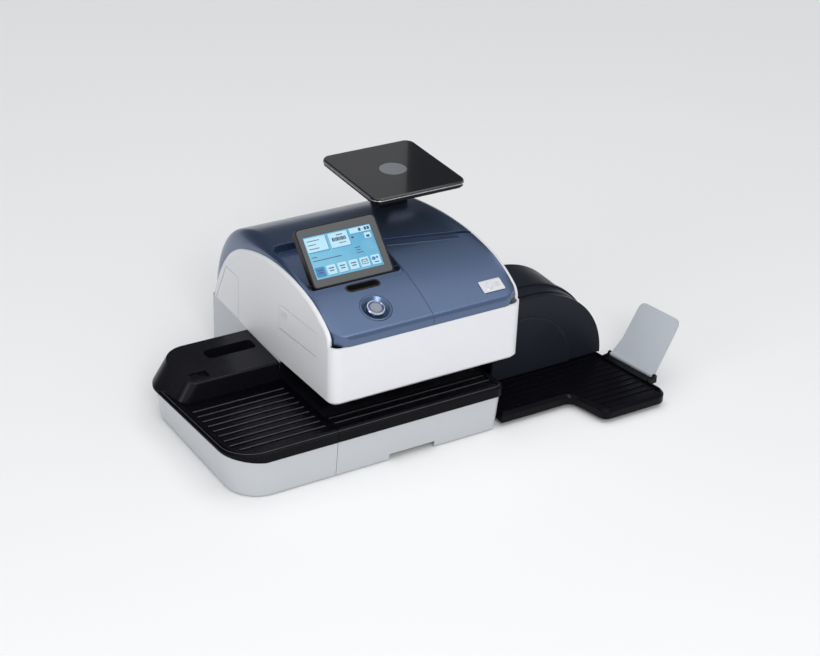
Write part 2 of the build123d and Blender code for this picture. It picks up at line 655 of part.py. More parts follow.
def grip_slot(grow, height, depth=0.0):
    plane = surface_plane(79.5, 84.0)
    half, r = 23.5 + grow, 6.0 + grow
    shape = outline((-half, -r, r - 0.01), (half, -r, r - 0.01), (half, r, r - 0.01), (-half, r, r - 0.01))
    return extrude(plane * Pos(0, 0, -height / 2 if depth == 0 else -depth) * shape, height)


def make_grip():
    cup = grip_slot(0.7, 10.2, depth=10.0) - grip_slot(-1.2, 12, depth=8.5)
    nodes["grip_cup"] = cup


# ------------------------------------------------------------------ start button
def button_bore(radius):
    plane = surface_plane(*BUTTON_AT)
    return extrude(plane * Pos(0, 0, -15) * Circle(radius), 30)


def ring_solid(plane, profile):
    """Turned ring from (radius, height) points."""
    face = make_face(Polyline(*profile, close=True))
    turned = revolve(Plane.XZ * face, Axis.Z)
    return plane * turned


def make_button():
    plane = surface_plane(*BUTTON_AT)
    dish = ring_solid(plane, [(12.4, -9), (20.9, -9), (20.9, 0.2), (19.6, 0.7), (18.6, 0.5), (13.6, -3.4), (13.2, -5),
                              (12.4, -5)])
    nodes["button_dish"] = dish
    barrel = ring_solid(plane, [(9.3, -9), (12.2, -9), (12.2, 0.0), (11.4, 1.1), (10.2, 1.2), (9.3, 0.2)])
    nodes["button_barrel"] = barrel
    cap = ring_solid(plane, [(0, -3.0), (9.0, -3.0), (9.0, -0.2), (8.6, 0.4), (7.6, 0.6), (7.4, 0.3), (0, 0.1)])
    stem = extrude(plane * Pos(0, 0, -9.5) * Circle(2.4), 7)
    nodes["start_button"] = cap + stem
    ring = ring_solid(plane, [(7.7, 0.3), (8.5, 0.2), (8.5, 0.75), (7.7, 0.85)])
    nodes["start_button"] += ring
    path = Helix(pitch=1.45, height=5.8, radius=4.2)
    wire_plane = Plane(origin=path @ 0, z_dir=path % 0)
    nodes["button_spring"] = plane * Pos(0, 0, -9.6) * sweep(wire_plane * Circle(0.35), path)
    base = extrude(plane * Pos(0, 0, -15) * RectangleRounded(26, 22, 2), 4.9)
    nodes["button_switch"] = base - extrude(plane * Pos(0, 0, -13) * Circle(3), 6)


# ------------------------------------------------------------------ weighing platform
def plate_sheet(z0, z1, inset):
    """Slab with the platform's plan, moved inwards by inset."""
    x0, x1 = PLATE_X[0] + inset, PLATE_X[1] - inset
    y0, y1 = PLATE_Y[0] + inset, PLATE_Y[1] - inset
    r = PLATE_CORNER - inset
    return extrude(Pos(0, 0, z0) * outline((x0, y0, r), (x1, y0, r), (x1, y1, r), (x0, y1, r)), z1 - z0)


def make_platform():
    top = plate_sheet(PLATE_TOP - 3.6, PLATE_TOP, 0)
    top = chamfer(top.faces().sort_by(Axis.Z)[-1].edges(), 1.2)
    cx, cy = sum(PLATE_X) / 2, sum(PLATE_Y) / 2
    top -= Pos(cx, cy, PLATE_TOP - 0.6) * extrude(Circle(19.1), 2)
    nodes["platter"] = top
    nodes["platter_disc"] = Pos(cx, cy, PLATE_TOP - 0.6) * extrude(Circle(18.8), 0.5)
    tray = plate_sheet(PLATE_TOP - 10, PLATE_TOP - 3.62, 0.5)
    tray = chamfer(tray.faces().sort_by(Axis.Z)[0].edges(), 1.5)
    nodes["platform_tray"] = tray - plate_sheet(PLATE_TOP - 8, PLATE_TOP, 3.0)
    px, py = POST_AT
    nodes["load_cell"] = block(px - 38, px + 38, py - 8, py + 8, PLATE_TOP - 22, PLATE_TOP - 10.02)
    nodes["load_cell"] -= Pos(px + 12, py, PLATE_TOP - 15.5) * Rot(90, 0, 0) * Cylinder(3.4, 40)
    nodes["load_cell"] -= Pos(px + 24, py, PLATE_TOP - 15.5) * Rot(90, 0, 0) * Cylinder(3.4, 40)
    post = extrude(Pos(px - 14, py, 168) * RectangleRounded(16, 26, 5), PLATE_TOP - 22.02 - 168)
    collar = extrude(Pos(px, py, 196) * RectangleRounded(43, 33, 6), 40)
    collar -= Pos(px - 14, py, 150) * extrude(RectangleRounded(17, 27, 5), 120)
    nodes["platform_post"] = post + (collar - cover_solid(-0.05, 0.0, 60.0))


# ------------------------------------------------------------------ exit module
def hood_profile(radius, low=22.0, left=BODY_W + 0.6):
    """Arched outline of the exit module in (x, z)."""
    cx, cz = HOOD_CENTRE
    right = cx + sqrt(radius ** 2 - (low - cz) ** 2)
    a = radians(45)
    return make_face([Line((left, low), (left, cz + radius)), Line((left, cz + radius), (cx, cz + radius)),
                      ThreePointArc((cx, cz + radius), (cx + radius * cos(a), cz + radius * sin(a)), (right, low)),
                      Line((right, low), (left, low))])


def make_exit_housing():
    low = TRAY_TOP + RIB_HEIGHT + 0.4
    outer = along_y(hood_profile(HOOD_R, low), HOOD_FRONT, COVER_FRONT - 0.5)
    groove = hood_profile(HOOD_R, low) - hood_profile(HOOD_R - 2.2, low)
    outer -= along_y(groove, HOOD_FRONT + 8, HOOD_FRONT + 13)
    hollow = hood_profile(HOOD_R - HOOD_WALL - 2, low - 3, left=BODY_W - 5)
    outer -= along_y(hollow, HOOD_FRONT + 3, COVER_FRONT + 5)
    ridge_profile = hood_profile(HOOD_R + 2.4, low) - hood_profile(HOOD_R - 1, low)
    ridge = along_y(ridge_profile, COVER_FRONT - 7.5, COVER_FRONT - 0.5)
    cx, cz = HOOD_CENTRE
    emboss = make_face([Line((BODY_W + 0.6, low), (BODY_W + 0.6, 106)), Line((BODY_W + 0.6, 106), (336, 106)),
                        ThreePointArc((336, 106), (388, 74), (407, low)), Line((407, low), (BODY_W + 0.6, low))])
    panel = along_y(emboss, HOOD_FRONT - 2.4, HOOD_FRONT + 0.5)
    panel = fillet([e for e in panel.faces().sort_by(Axis.Y)[0].edges() if (e @ 0.5).Z > low + 1
                    and (e @ 0.5).X > BODY_W + 1], 1.6)
    rear = along_y(hood_profile(HOOD_R, low), HOOD_BACK - 2.6, HOOD_BACK)
    side = block(BODY_W + 0.6, BODY_W + 3.4, HOOD_FRONT, HOOD_BACK, 92, HOOD_CENTRE[1] + HOOD_R - 6)
    sill = block(cx + 100, cx + HOOD_R, COVER_FRONT - 2, HOOD_BACK, low, low + 2.6)
    housing = outer + ridge + panel + rear + side + sill
    hinge_start = hood_hinge()
    hinge_room = Pos(hinge_start.X, hinge_start.Z) * Circle(6.2)
    housing = housing - along_y(hinge_room, COVER_FRONT - 0.4, HOOD_BACK - 2.7)
    housing = housing - rod(hinge_start - Vector(0, 4, 0), (0, 1, 0), 2.5, HOOD_BACK - COVER_FRONT + 4)
    nodes["exit_housing"] = housing


def hood_hinge():
    return Vector(HOOD_CENTRE[0] + HOOD_R - 6.5, COVER_FRONT, 30.0)


HANDLE = (300.0, 334.0, 128.0, 166.0)


def make_exit_cover():
    y0, y1 = COVER_FRONT, HOOD_BACK - 3.0
    start = hood_hinge()
    shell = along_y(hood_profile(HOOD_R, 30.0, left=BODY_W + 4), y0, y1)
    shell -= along_y(hood_profile(HOOD_R - HOOD_WALL, 20.0, left=BODY_W - 5), y0 - 1, y1 + 1)
    barrel = along_y(Pos(start.X, start.Z) * Circle(5.8), y0, y1)
    hx0, hx1, hy0, hy1 = HANDLE
    top = HOOD_CENTRE[1] + HOOD_R
    cup = block(hx0 - 2, hx1 + 2, hy0 - 2, hy1 + 2, top - 12, top - 1)
    shell = shell + barrel + cup - block(hx0, hx1, hy0, hy1, top - 10, top + 2)
    shell -= rod(start - Vector(0, 1, 0), (0, 1, 0), 2.56, y1 - y0 + 2)
    nodes["exit_cover"] = shell
    bar = rod((hx0 - 1, (hy0 + hy1) / 2 + 4, top - 4.2), (1, 0, 0), 3.6, hx1 - hx0 + 2)
    nodes["exit_cover"] += bar
    hinge_pins.append(rod(start - Vector(0, 3.9, 0), (0, 1, 0), 2.5, HOOD_BACK - COVER_FRONT + 3.6))


def tray_plan(inset=0.0):
    i = inset
    return outline((BASE_RIGHT + 1.2 + i, i, 1.0), (358 - i * 0.3, i, max(1.0, 14 + i)),
                   (373 + i, -57 + i, max(2, 12 - i)), (480 - i, -57 + i, max(2, 16 - i)), (457 - i, 78, 0.5),
                   (455 - i, HOOD_BACK - 1 - i, 6), (BASE_RIGHT + 1.2 + i, HOOD_BACK - 1 - i, 1.0))


def make_tray():
    slab = extrude(Pos(0, 0, TRAY_BOTTOM) * tray_plan(), TRAY_TOP - 1 - TRAY_BOTTOM)
    slab += loft([Pos(0, 0, TRAY_TOP - 1) * tray_plan(), Pos(0, 0, TRAY_TOP + 3) * tray_plan(4.0)], ruled=True)
    slab -= extrude(Pos(0, 0, TRAY_TOP) * tray_plan(7.0), 10)
    slab -= block(BODY_W, HOOD_CENTRE[0] + HOOD_R + 2, HOOD_FRONT - 3, HOOD_BACK + 2, TRAY_TOP, 40)
    slab -= extrude(Pos(0, 0, TRAY_BOTTOM - 1) * tray_plan(3.0), TRAY_TOP - 3 - TRAY_BOTTOM + 1)
    slab -= block(240, BODY_W + 0.6, GUIDE_Y + 3.5, 200, 0, 60)
    rows = [block(BASE_RIGHT + 4, 490, y - 1, y + 1, TRAY_TOP - 0.5, TRAY_TOP + RIB_HEIGHT)
            for y in [-46 + TRAY_RIB_PITCH * i for i in range(11)]]
    rows = (Part() + rows) & extrude(Pos(0, 0, TRAY_TOP - 1) * tray_plan(10.0), 10)
    slab += rows
    slab += block(BASE_RIGHT - 18, BASE_RIGHT + 3, 42, 60, TRAY_BOTTOM + 0.5, TRAY_BOTTOM + 4)
    slab += block(BASE_RIGHT - 18, BASE_RIGHT + 3, 90, 108, TRAY_BOTTOM + 0.5, TRAY_BOTTOM + 4)
    foot, direction, length = flap_axis()
    beside = Plane(origin=foot, x_dir=direction, z_dir=(0, 0, 1))
    slab += beside * block(-LUG_W - 0.4, length + LUG_W + 0.4, -14, -2, -9, -1.6)
    slab -= rod(foot - direction * 0.4, direction, FLAP_R + 0.4, length + 0.8)
    for s in (-LUG_W - 0.4, length + 0.4):
        lug = rod(foot + direction * s, direction, FLAP_R, LUG_W)
        slab += lug + beside * block(s, s + LUG_W, -14, FLAP_R, -9, 0)
    slab -= rod(foot - direction * 9, direction, 1.5, length + 18)
    nodes["catch_tray"] = slab
    nodes["rubber_feet"] = Part() + [Pos(x, y, 6.5) * Cylinder(7, 13.0)
                                     for x, y in ((395, -38), (455, -36), (300, 60), (440, 150))]


def flap_axis():
    a, b = Vector(*FLAP_FOOT, FLAP_Z), Vector(*FLAP_END, FLAP_Z)
    return a, (b - a).normalized(), (b - a).length


def make_flap():
    foot, direction, length = flap_axis()
    outward = Vector(-direction.Y, direction.X, 0)
    lean = radians(FLAP_LEAN)
    up = Vector(0, 0, cos(lean)) + outward * sin(lean)
    plane = Plane(origin=foot, x_dir=direction, z_dir=direction.cross(up))
    shape = outline((0, 0, 0), (length, 0, 0), (length, FLAP_L, 10), (7, FLAP_L, 10), (5, 26, 20), (0, 6, 4))
    flap = extrude(plane * Pos(0, 0, -FLAP_R) * shape, FLAP_T)
    flap += rod(foot, direction, FLAP_R, length)
    nodes["stop_flap"] = flap - rod(foot - direction, direction, 1.56, length + 2)
    hinge_pins.append(rod(foot - direction * (LUG_W + 0.3), direction, 1.5, length + 2 * LUG_W + 0.6))


# ------------------------------------------------------------------ lower rear housing and chassis
def make_rear_housing():
    back, right = BODY_BACK - 1, BODY_W - WALL
    plan = outline((0, GUIDE_Y + 4, 0), (BODY_W, GUIDE_Y + 4, 0), (BODY_W, back, 12), (0, back, 12))
    inner = outline((WALL, GUIDE_Y - 5, 0), (right, GUIDE_Y - 5, 0), (right, back - WALL, 9),
                    (WALL, BODY_BACK - 1 - WALL, 9))
    shell = extrude(Pos(0, 0, SKIRT_Z) * plan, SIDE_LINE - GAP - SKIRT_Z) - extrude(inner, 100)
    shell -= block(36, 66, BODY_BACK - 10, BODY_BACK + 5, 26, 52)
    shell -= block(170, 246, BODY_BACK - 10, BODY_BACK + 5, 30, 50)
    for i in range(9):
        shell -= block(84 + 8 * i, 88 + 8 * i, BODY_BACK - 10, BODY_BACK + 5, 34, 66)
    nodes["rear_housing"] = shell


def make_chassis():
    plate = block(-127, 233, 12, 158, FOOT_Z, FOOT_Z + 2) + block(-127, -8, 12, 246, FOOT_Z, FOOT_Z + 2)
    plate += block(6, BODY_W - 6, 157.5, BODY_BACK - 8, FOOT_Z, FOOT_Z + 2)
    corner = block(-127, -85, 12, 54, 0, 10) - Pos(-85, 54, 5) * Cylinder(42, 20)
    rear_corner = block(-127, -98, 217, 246, 0, 10) - Pos(-98, 217, 5) * Cylinder(29, 20)
    nodes["chassis_plate"] = plate - corner - rear_corner
    feet_at = [(-100, 40), (-110, 215), (-25, 25), (110, 25), (215, 30), (20, 345), (258, 345), (140, 200)]
    nodes["rubber_feet"] += [Pos(x, y, FOOT_Z / 2) * Cylinder(9, FOOT_Z) for x, y in feet_at]

    frame = block(6, BODY_W - 6, 172, 175, FOOT_Z + 2, 168) + block(9, BODY_W - 9, 172, 175, 168, 196)
    frame -= block(20, 100, 165, 180, 100, 160)
    frame -= block(110, 175, 165, 180, 96, 176)
    frame -= block(190, 262, 165, 180, 100, 160)
    frame -= block(40, 236, 165, 180, 0, 70)
    for x in (102.0, 180.0):
        frame -= rod((x, 165, 132.0), (0, 1, 0), 4.02, 20)
    start, direction, length = lid_axis()
    for s in (-4.4, length + 1.0):
        p = start + direction * s
        arm = block(p.X, p.X + 3.2, p.Y - 4, 175, p.Z - 9, p.Z - 4)
        arm += block(p.X, p.X + 3.2, p.Y - 3.2, p.Y + 3.2, p.Z - 9, p.Z + 0.9)
        arm += block(p.X, p.X + 3.2, 172, 175, 190, p.Z - 4)
        frame += arm
    frame -= rod(start - direction * 8, direction, 1.52, length + 16)
    post_base = block(POST_AT[0] - 30, POST_AT[0] + 4, 174, POST_AT[1] + 18, 164, 167.9)
    nodes["cross_frame"] = frame + post_base


# ------------------------------------------------------------------ letter transport
def make_transport():
    shaft_n = PLATE_N + 0.7 - TYRE_R
    for tag, x in zip(("in", "out"), DRIVE_X):
        shaft = deck_rod(x, shaft_n, 84, PULLEY_Y + 8.5, SHAFT_R)
        nodes[f"{tag}_shaft"] = shaft
        tyres = [deck_rod(x, shaft_n, y, y + TYRE_W, TYRE_R) - deck_rod(x, shaft_n, y - 1, y + TYRE_W + 1, SHAFT_R)
                 for y in TYRE_Y]
        nodes[f"{tag}_tyres"] = Part() + tyres
        nodes[f"{tag}_pulley"] = pulley(x, shaft_n, PULLEY_R, SHAFT_R)
    blocks = Part()
    for x in DRIVE_X:
        for y in (85.0, 143.5):
            top = deck_block(x - 8, x + 8, y, y + 4.5, -70, shaft_n + 7)
            blocks += top - deck_rod(x, shaft_n, y - 1, y + 6, SHAFT_R + 0.05)
    blocks -= block(-200, 400, 0, 400, -60, FOOT_Z + 2)
    nodes["bearing_blocks"] = blocks
    motor = deck_rod(MOTOR_X, MOTOR_N, 176, 216, 15) + deck_rod(MOTOR_X, MOTOR_N, 172, 176, 5)
    nodes["drive_motor"] = motor
    spindle = deck_rod(MOTOR_X, MOTOR_N, PULLEY_Y - 1, 171.9, 2.5)
    nodes["motor_pulley"] = pulley(MOTOR_X, MOTOR_N, MOTOR_PULLEY_R, 2.5) + spindle
    rings = [(DRIVE_X[0], shaft_n, PULLEY_R), (DRIVE_X[1], shaft_n, PULLEY_R), (MOTOR_X, MOTOR_N, MOTOR_PULLEY_R)]
    loop = belt_hull(rings, 1.9) - belt_hull(rings, 0.4)
    plane = Plane(origin=deck_point(0, PULLEY_Y + 1, 0), x_dir=(1, 0, 0), z_dir=(0, -cos(tilt), sin(tilt)))
    nodes["drive_belt"] = extrude(plane * loop, -5.0)


def pulley(x, n, radius, bore):
    wheel = deck_rod(x, n, PULLEY_Y, PULLEY_Y + 7, radius)
    flanges = deck_rod(x, n, PULLEY_Y - 0.6, PULLEY_Y, radius + 2.4)
    flanges += deck_rod(x, n, PULLEY_Y + 7, PULLEY_Y + 7.6, radius + 2.4)
    return wheel + flanges - deck_rod(x, n, PULLEY_Y - 2, PULLEY_Y + 9, bore)


def belt_hull(rings, grow):
    """Tight outline around several circles."""
    edges = []
    for x, n, r in rings:
        edges += (Pos(x, n) * Circle(r + grow)).edges()
    return make_hull(edges)


PRESS_PIVOT = (-32.0, 38.0)


def make_press_units():
    press_n = PLATE_N + 0.7 + 0.35 + PRESS_R
    pivots = Part()
    for tag, x in zip(("in", "out"), DRIVE_X):
        px, pn = x + PRESS_PIVOT[0], PRESS_PIVOT[1]
        roller = Part() + [deck_rod(x, press_n, y, y + TYRE_W, PRESS_R) for y in TYRE_Y]
        roller += deck_rod(x, press_n, 92.2, 144.8, 2.5)
        nodes[f"{tag}_press_roller"] = roller
        lever = [arm_plate(px, pn, x, press_n, y) for y in (92.5, 142.5)]
        tube = deck_rod(px, pn, 92.5, 144.5, 5.5)
        arm = Part() + lever + tube
        arm -= deck_rod(px, pn, 90, 147, 2.56)
        arm -= deck_rod(x, press_n, 90, 147, 2.56)
        nodes[f"{tag}_press_arm"] = arm
        rod_part = deck_rod(px, pn, 87, 150, 2.5)
        ears = Part() + [deck_block(px - 5, px + 5, y, y + 3, 29.85, pn + 5) for y in (87.5, 146.5)]
        pivots += rod_part + ears
    nodes["press_pivots"] = pivots


def arm_plate(x0, n0, x1, n1, y):
    """Flat lever between two pivots."""
    shape = make_hull((Pos(x0, n0) * Circle(5.5)).edges() + (Pos(x1, n1) * Circle(4.5)).edges())
    plane = Plane(origin=deck_point(0, y + 2, 0), x_dir=(1, 0, 0), z_dir=(0, -cos(tilt), sin(tilt)))
    return extrude(plane * shape, 2.0)


# ------------------------------------------------------------------ print unit inside the casing
def make_print_unit():
    rail_z = 132.0
    nodes["carriage_rails"] = Part() + [rod((x, 40, rail_z), (0, 1, 0), 4.0, 135) for x in (102.0, 180.0)]
    stands = [block(x - 7, x + 7, y0, y1, FLOOR_Z - 8, rail_z + 8) for x in (102.0, 180.0)
              for y0, y1 in ((42, 48),)]
    holder = Part() + [s - rod((s.center().X, 30, rail_z), (0, 1, 0), 4.03, 200) for s in stands]
    holder -= below_floor(WALL + 0.05)
    nodes["bearing_blocks"] += holder
    carriage = block(94, 188, 84, 132, 108, 142) - block(112, 170, 88, 128, 112, 150)
    carriage += block(106, 112, 84, 132, 136, 158) + block(170, 176, 84, 132, 136, 158)
    for x in (102.0, 180.0):
        carriage -= rod((x, 80, rail_z), (0, 1, 0), 4.06, 60)
    nodes["print_carriage"] = carriage
    body = block(112.3, 169.7, 88.3, 127.7, 112.1, 172)
    grip = block(126, 156, 84.5, 90, 160, 176)
    nodes["ink_cartridge"] = fillet(body.edges().filter_by(Axis.Z), 3) + grip
    tray = block(112, 166, 32, 74, 90, 106) - block(114, 164, 34, 72, 98, 120)
    nodes["waste_ink_tray"] = tray - below_floor(WALL + 0.05)


def make_electronics():
    nodes["main_board"] = block(20, 250, 352, 354, 96, 160) + block(60, 90, 343, 352, 104, 134) \
        + block(130, 170, 346, 352, 110, 150) + block(200, 236, 344, 352, 100, 120)
    nodes["power_supply"] = block(16, 120, 235, 335, FOOT_Z + 2, 62)
    inlet = block(36.3, 65.7, BODY_BACK - 22, BODY_BACK - 0.6, 26.3, 51.7)
    inlet -= block(40, 62, BODY_BACK - 18, BODY_BACK + 2, 30, 48)
    for x, z in ((46, 36), (51, 42), (56, 36)):
        inlet += block(x - 0.9, x + 0.9, BODY_BACK - 19, BODY_BACK - 6, z - 2.2, z + 2.2)
    ports = block(170.3, 245.7, BODY_BACK - 20, BODY_BACK - 1.6, 30.3, 49.7)
    for x0, x1, z0, z1 in ((176, 192, 33, 46), (198, 211, 34, 40), (198, 211, 42, 48), (218, 231, 34, 40)):
        ports -= block(x0, x1, BODY_BACK - 14, BODY_BACK + 2, z0, z1)
    nodes["rear_sockets"] = inlet + ports


def make_screws():
    spots = [(-60, 60), (-60, 200), (60, 30), (180, 60), (40, 300), (238, 300), (140, 350)]
    screws = Part()
    for x, y in spots:
        screws += Pos(x, y, FOOT_Z - 0.7) * Cylinder(3.2, 1.4) - Pos(x, y, FOOT_Z - 1.4) * Cylinder(1.2, 1.0)
    nodes["screws"] = screws


def build():
    make_skirts()
    make_decks()
    make_tower()
    make_casing()
    make_side_door()
    make_covers()
    make_display()
    make_grip()
    make_button()
    make_platform()
    make_exit_housing()
    make_exit_cover()
    make_tray()
    make_flap()
    make_rear_housing()
    make_chassis()
    make_transport()
    make_press_units()
    make_print_unit()
    make_electronics()
    make_screws()
    nodes["hinge_pins"] = Part() + hinge_pins


def main():
    build()
    os.makedirs("parts", exist_ok=True)
    for name, shape in nodes.items():
        export_step(Pos(-ORIGIN_X, -ORIGIN_Y, 0) * shape, f"parts/{name}.step")


main()
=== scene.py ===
import math

import bmesh
import bpy
from mathutils import Matrix, Vector


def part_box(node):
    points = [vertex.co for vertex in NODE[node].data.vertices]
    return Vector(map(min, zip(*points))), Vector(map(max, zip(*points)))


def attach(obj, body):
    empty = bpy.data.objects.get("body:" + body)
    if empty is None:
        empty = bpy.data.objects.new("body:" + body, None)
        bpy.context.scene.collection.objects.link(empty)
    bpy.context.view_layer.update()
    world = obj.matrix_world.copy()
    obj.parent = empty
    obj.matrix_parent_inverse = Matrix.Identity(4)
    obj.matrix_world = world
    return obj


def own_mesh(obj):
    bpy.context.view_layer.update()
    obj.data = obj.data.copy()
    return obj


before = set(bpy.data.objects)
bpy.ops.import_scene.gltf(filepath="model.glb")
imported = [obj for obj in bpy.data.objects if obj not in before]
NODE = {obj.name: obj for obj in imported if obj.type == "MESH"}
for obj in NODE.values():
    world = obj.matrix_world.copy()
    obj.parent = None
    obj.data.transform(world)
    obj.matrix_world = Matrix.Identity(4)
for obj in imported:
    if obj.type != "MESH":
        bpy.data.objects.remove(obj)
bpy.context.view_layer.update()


MM = 0.001
DECK_TILT = math.radians(3.8)


# ------------------------------------------------------------------ materials
class Surface:
    """A Principled material whose patterns are laid out in the object's own metres."""

    def __init__(self, name):
        self.mat = bpy.data.materials.new(name)
        self.mat.use_nodes = True
        self.nodes = self.mat.node_tree.nodes
        self.links = self.mat.node_tree.links
        self.bsdf = self.nodes["Principled BSDF"]
        self.where = self.nodes.new("ShaderNodeTexCoord").outputs["Object"]

    def link(self, a, b):
        self.links.new(a, b)

    def set(self, **values):
        for key, value in values.items():
            self.bsdf.inputs[key.replace("_", " ")].default_value = value

    def noise(self, size, detail=2.0, stretch=(1, 1, 1), rough=0.5):
        """Noise with features about size metres across, longer where stretch is above 1."""
        place = self.nodes.new("ShaderNodeMapping")
        place.inputs["Scale"].default_value = tuple(1 / s for s in stretch)
        self.link(self.where, place.inputs["Vector"])
        node = self.nodes.new("ShaderNodeTexNoise")
        node.inputs["Scale"].default_value = 1 / size
        node.inputs["Detail"].default_value = detail
        node.inputs["Roughness"].default_value = rough
        self.link(place.outputs["Vector"], node.inputs["Vector"])
        return node.outputs["Fac"]

    def cells(self, size):
        """One random value for each cell about size metres across."""
        node = self.nodes.new("ShaderNodeTexVoronoi")
        node.inputs["Scale"].default_value = 1 / size
        self.link(self.where, node.inputs["Vector"])
        grey = self.nodes.new("ShaderNodeRGBToBW")
        self.link(node.outputs["Color"], grey.inputs["Color"])
        return grey.outputs["Val"]

    def span(self, value, low, high, to_low=0.0, to_high=1.0):
        node = self.nodes.new("ShaderNodeMapRange")
        for socket, number in zip(("From Min", "From Max", "To Min", "To Max"), (low, high, to_low, to_high)):
            node.inputs[socket].default_value = number
        self.link(value, node.inputs["Value"])
        return node.outputs["Result"]

    def math(self, kind, a, b):
        node = self.nodes.new("ShaderNodeMath")
        node.operation = kind
        for socket, value in zip(node.inputs, (a, b)):
            if isinstance(value, (int, float)):
                socket.default_value = value
            else:
                self.link(value, socket)
        return node.outputs["Value"]

    def mix(self, factor, a, b):
        """Colour a where factor is 0 and b where it is 1."""
        node = self.nodes.new("ShaderNodeMix")
        node.data_type = "RGBA"
        if isinstance(factor, (int, float)):
            node.inputs["Factor"].default_value = factor
        else:
            self.link(factor, node.inputs["Factor"])
        for socket, value in ((node.inputs[6], a), (node.inputs[7], b)):
            if isinstance(value, (tuple, list)):
                socket.default_value = (*value, 1)
            else:
                self.link(value, socket)
        return node.outputs[2]

    def dot(self, direction):
        node = self.nodes.new("ShaderNodeVectorMath")
        node.operation = "DOT_PRODUCT"
        node.inputs[1].default_value = direction
        self.link(self.where, node.inputs[0])
        return node.outputs["Value"]

    def distance(self, point):
        node = self.nodes.new("ShaderNodeVectorMath")
        node.operation = "DISTANCE"
        node.inputs[1].default_value = point
        self.link(self.where, node.inputs[0])
        return node.outputs["Value"]

    def bump(self, height, depth, edge=0.0):
        """Relief of the given depth in metres, with edges that read as rounded by edge metres."""
        node = self.nodes.new("ShaderNodeBump")
        node.inputs["Strength"].default_value = 1.0
        node.inputs["Distance"].default_value = depth
        self.link(height, node.inputs["Height"])
        if edge:
            soft = self.nodes.new("ShaderNodeBevel")
            soft.samples = 4
            soft.inputs["Radius"].default_value = edge
            self.link(soft.outputs["Normal"], node.inputs["Normal"])
        self.link(node.outputs["Normal"], self.bsdf.inputs["Normal"])


def shade(color, factor):
    return tuple(min(1.0, c * factor) for c in color)


def moulded(name, color, rough, grain=0.0007, depth=0.00003, mottle=0.10, swing=0.06, edge=0.0006,
            metallic=0.0, coat=0.0, scuff=0.05, shine=0.5):
    """Moulded or painted shell: clouded colour, fine grain, uneven polish and faint rubbing marks."""
    s = Surface(name)
    clouds = s.noise(0.055, 3)
    fine = s.noise(grain, 2)
    rubs = s.span(s.noise(0.012, 4, stretch=(3, 1, 1), rough=0.7), 0.58, 0.72)
    base = s.mix(clouds, shade(color, 1 - mottle), shade(color, 1 + mottle))
    base = s.mix(s.span(fine, 0.3, 0.7, 0.0, 0.35), base, shade(color, 0.86))
    s.link(base, s.bsdf.inputs["Base Color"])
    level = s.span(clouds, 0.3, 0.7, rough - swing, rough + swing)
    level = s.math("ADD", level, s.math("MULTIPLY", rubs, scuff))
    s.link(s.math("ADD", level, s.span(fine, 0.3, 0.7, -0.03, 0.03)), s.bsdf.inputs["Roughness"])
    s.bump(fine, depth, edge)
    s.set(Metallic=metallic, Coat_Weight=coat, Coat_Roughness=0.12, Specular_IOR_Level=shine)
    return s


def metallic_paint(name, color, rough, coat=0.35, metallic=0.82):
    """Satin metallic paint: flakes that differ a little in tone, under a thin clear coat."""
    s = Surface(name)
    flakes = s.cells(0.0003)
    clouds = s.noise(0.07, 2)
    base = s.mix(s.span(flakes, 0.1, 0.9), shade(color, 0.95), shade(color, 1.05))
    base = s.mix(s.span(clouds, 0.3, 0.7, 0.0, 0.3), base, shade(color, 0.92))
    s.link(base, s.bsdf.inputs["Base Color"])
    sparkle = s.span(flakes, 0, 1, rough - 0.02, rough + 0.02)
    level = s.math("ADD", sparkle, s.span(clouds, 0.3, 0.7, -0.03, 0.03))
    s.link(level, s.bsdf.inputs["Roughness"])
    s.bump(s.noise(0.0011, 2), 0.000006, 0.0007)
    s.set(Metallic=metallic, Coat_Weight=coat, Coat_Roughness=0.16)
    return s


def brushed(name, color, rough, along=(30, 1, 1), size=0.0012, turned=None):
    """Brushed or turned metal: long fine scratches, along one way or round a centre."""
    s = Surface(name)
    if turned is None:
        lines = s.noise(size, 3, stretch=along)
    else:
        wave = s.nodes.new("ShaderNodeTexNoise")
        wave.noise_dimensions = "1D"
        wave.inputs["Scale"].default_value = 1 / size
        s.link(s.distance(turned), wave.inputs["W"])
        lines = wave.outputs["Fac"]
    clouds = s.noise(0.03, 2)
    base = s.mix(s.span(lines, 0.3, 0.7), shade(color, 0.82), shade(color, 1.12))
    s.link(s.mix(s.span(clouds, 0.3, 0.7, 0, 0.3), base, shade(color, 0.85)), s.bsdf.inputs["Base Color"])
    s.link(s.span(lines, 0.2, 0.8, rough - 0.07, rough + 0.1), s.bsdf.inputs["Roughness"])
    s.bump(lines, 0.00002, 0.0004)
    s.set(Metallic=1.0)
    return s


def rubber(name, color=(0.018, 0.018, 0.019)):
    s = Surface(name)
    fine = s.noise(0.0009, 4)
    dust = s.span(s.noise(0.02, 4), 0.5, 0.75, 0.0, 0.5)
    base = s.mix(fine, shade(color, 0.7), shade(color, 1.5))
    s.link(s.mix(dust, base, shade(color, 3.0)), s.bsdf.inputs["Base Color"])
    s.link(s.span(fine, 0.3, 0.7, 0.72, 0.9), s.bsdf.inputs["Roughness"])
    s.bump(fine, 0.00008, 0.0004)
    return s


